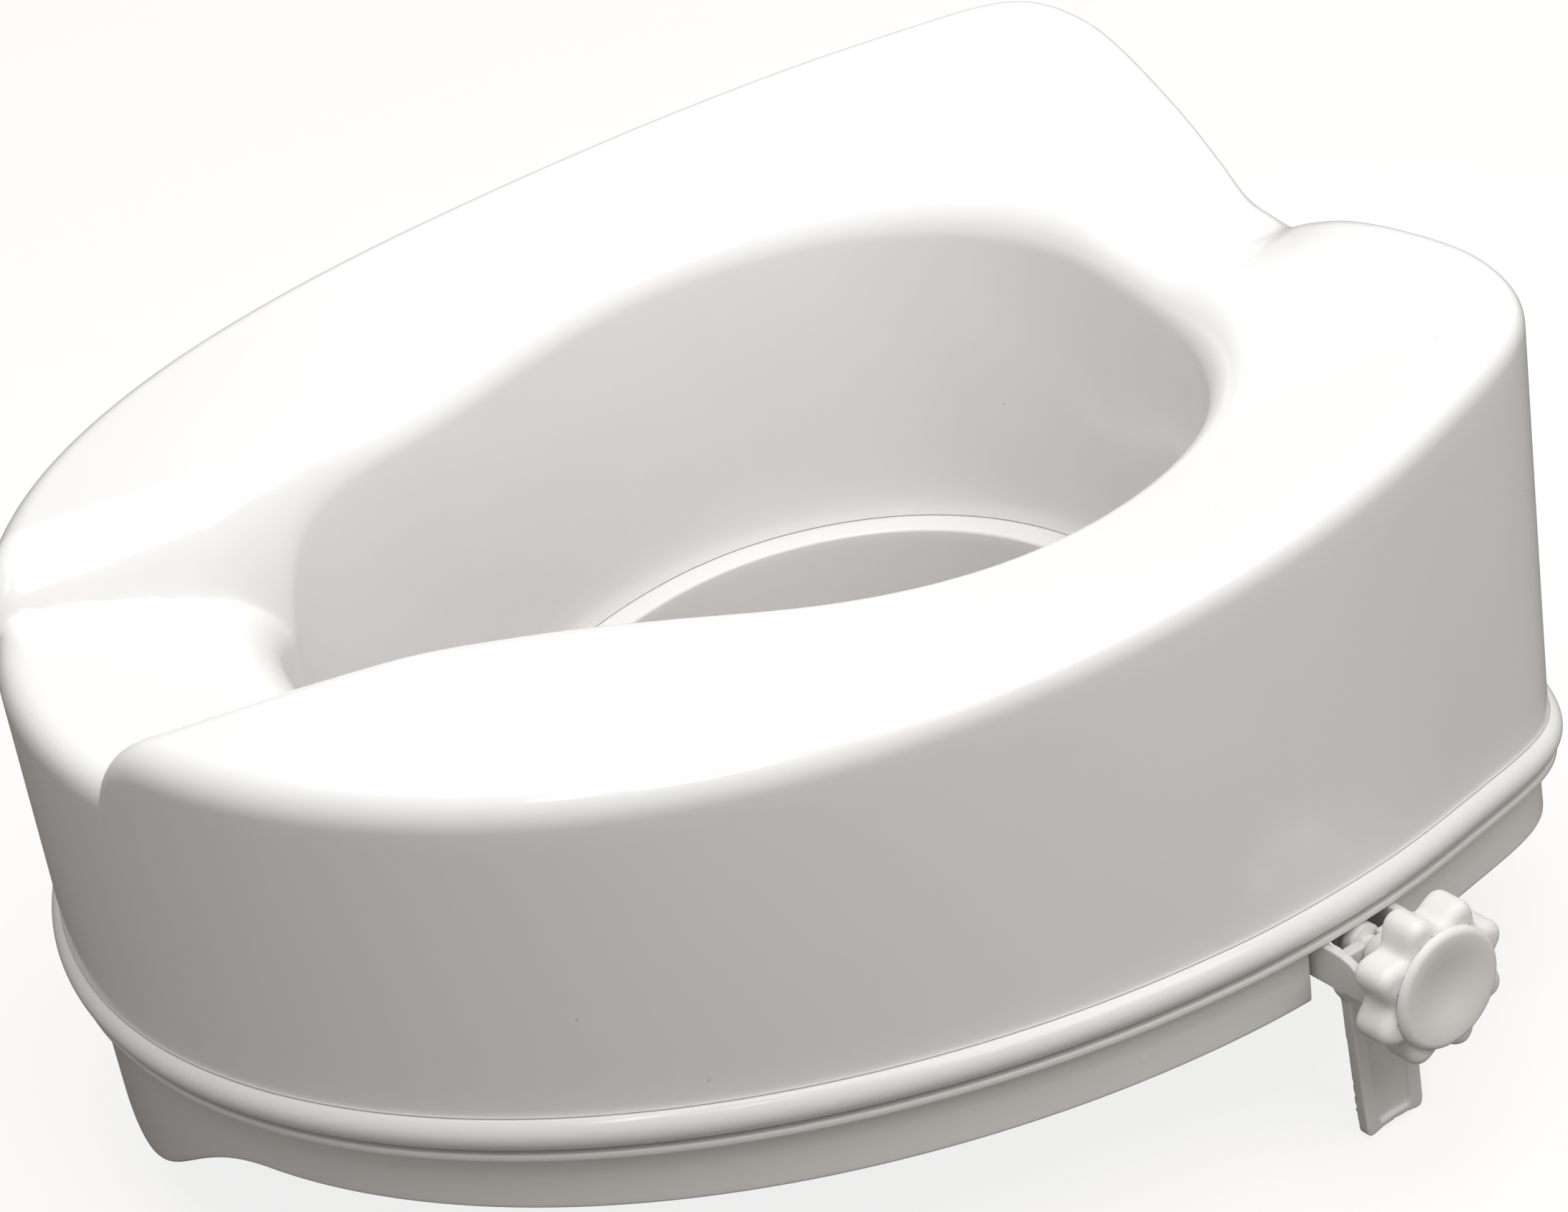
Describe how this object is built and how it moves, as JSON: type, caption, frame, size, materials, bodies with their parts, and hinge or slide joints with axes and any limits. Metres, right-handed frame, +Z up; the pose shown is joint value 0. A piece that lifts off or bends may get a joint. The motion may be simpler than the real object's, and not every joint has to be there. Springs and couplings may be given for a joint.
{
  "type": "raised toilet seat",
  "caption": "Hollow moulded raised seat for a toilet bowl, with a keyhole opening recessed front and rear, a stepped base ring and a hand-wheel screw clamp on each side.",
  "frame": {"origin": "centre of the overall footprint at the level of the lowest points, the tips of the two clamp legs; the anti-slip pads rest 41 mm above it", "axes": "+Z up, -Y towards the front (narrow end), +Y towards the rear, +X towards the seated user's left; millimetres in the source, metres here"},
  "size_m": [0.4152, 0.3858, 0.1938],
  "materials": {
    "shell_plastic": "gloss",
    "base_plastic": "semi-gloss",
    "clamp_plastic": "satin",
    "wheel_plastic": "satin, slightly translucent",
    "grip_rubber": "matt",
    "pad_rubber": "matt",
    "steel": "zinc plated"
  },
  "bodies": {
    "seat": {"seat_shell": "shell_plastic", "base_ring": "base_plastic", "antislip_pad_rear_left": "pad_rubber", "antislip_pad_front_left": "pad_rubber", "screw_nut_left": "clamp_plastic", "clamp_guide_left": "base_plastic", "guide_screws_left": "steel", "antislip_pad_rear_right": "pad_rubber", "antislip_pad_front_right": "pad_rubber", "screw_nut_right": "clamp_plastic", "clamp_guide_right": "base_plastic", "guide_screws_right": "steel"},
    "bracket_left": {"clamp_bracket_left": "clamp_plastic", "bracket_grip_pad_left": "grip_rubber"},
    "wheel_left": {"hand_wheel_left": "wheel_plastic", "hand_wheel_cap_left": "wheel_plastic", "adjuster_screw_left": "clamp_plastic", "wheel_fixing_screw_left": "steel"},
    "bracket_right": {"clamp_bracket_right": "clamp_plastic", "bracket_grip_pad_right": "grip_rubber"},
    "wheel_right": {"hand_wheel_right": "wheel_plastic", "hand_wheel_cap_right": "wheel_plastic", "adjuster_screw_right": "clamp_plastic", "wheel_fixing_screw_right": "steel"}
  },
  "joints": [
    {"name": "bracket_slide_left", "type": "slide", "parent": "seat", "child": "bracket_left", "axis": [0.9767, 0.2147, 0], "range_m": [-0.01, 0.0125]},
    {"name": "hand_wheel_turn_left", "type": "hinge", "parent": "bracket_left", "child": "wheel_left", "pos_m": [0.1685, 0.0965, 0.054], "axis": [0.9767, 0.2147, 0], "range_deg": [-720, 900]},
    {"name": "bracket_slide_right", "type": "slide", "parent": "seat", "child": "bracket_right", "axis": [-0.9767, 0.2147, 0], "range_m": [-0.01, 0.0125]},
    {"name": "hand_wheel_turn_right", "type": "hinge", "parent": "bracket_right", "child": "wheel_right", "pos_m": [-0.1685, 0.0965, 0.054], "axis": [-0.9767, 0.2147, 0], "range_deg": [-720, 900]}
  ],
  "couplings": [
    {"joint": "bracket_slide_left", "follows": "hand_wheel_turn_left", "m_per_rad": 0.00079577},
    {"joint": "bracket_slide_right", "follows": "hand_wheel_turn_right", "m_per_rad": 0.00079577}
  ]
}
